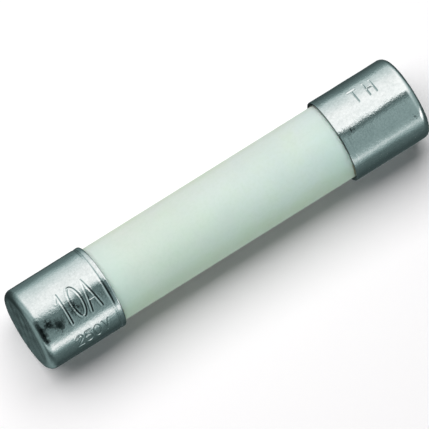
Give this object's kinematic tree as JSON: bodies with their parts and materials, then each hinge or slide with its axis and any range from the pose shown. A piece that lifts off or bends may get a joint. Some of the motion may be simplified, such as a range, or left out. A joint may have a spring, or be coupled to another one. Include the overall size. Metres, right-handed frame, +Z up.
{
  "type": "cartridge fuse",
  "caption": "Cartridge fuse: a plain ceramic tube with a plated cup-shaped contact cap cemented on each end and a wound wire element in sand inside.",
  "frame": {"origin": "middle of the fuse, on its axis", "axes": "+X along the fuse's axis, from the left end cap to the right one; +Z up as it lies"},
  "size_m": [0.0318, 0.0064, 0.0064],
  "materials": {
    "end_cap": "bright nickel plate, lightly scuffed",
    "ceramic": "fired and unglazed, satin",
    "cement": "cured cement, dull yellow-brown",
    "washer_fibre": "vulcanised fibre, dull",
    "solder": "soft solder, satin",
    "glass_fibre": "glass yarn stiffened with resin, dull",
    "wire": "tinned copper, bright",
    "tin": "cast tin, satin",
    "quartz": "packed quartz sand"
  },
  "bodies": {
    "root": {"ceramic_tube": "ceramic", "left_end_cap": "end_cap", "right_end_cap": "end_cap", "left_cement_ring": "cement", "right_cement_ring": "cement", "left_fibre_washer": "washer_fibre", "right_fibre_washer": "washer_fibre", "left_solder_joint": "solder", "right_solder_joint": "solder", "element_core": "glass_fibre", "fuse_wire": "wire", "tin_bead": "tin", "quartz_filler": "quartz"}
  },
  "joints": []
}
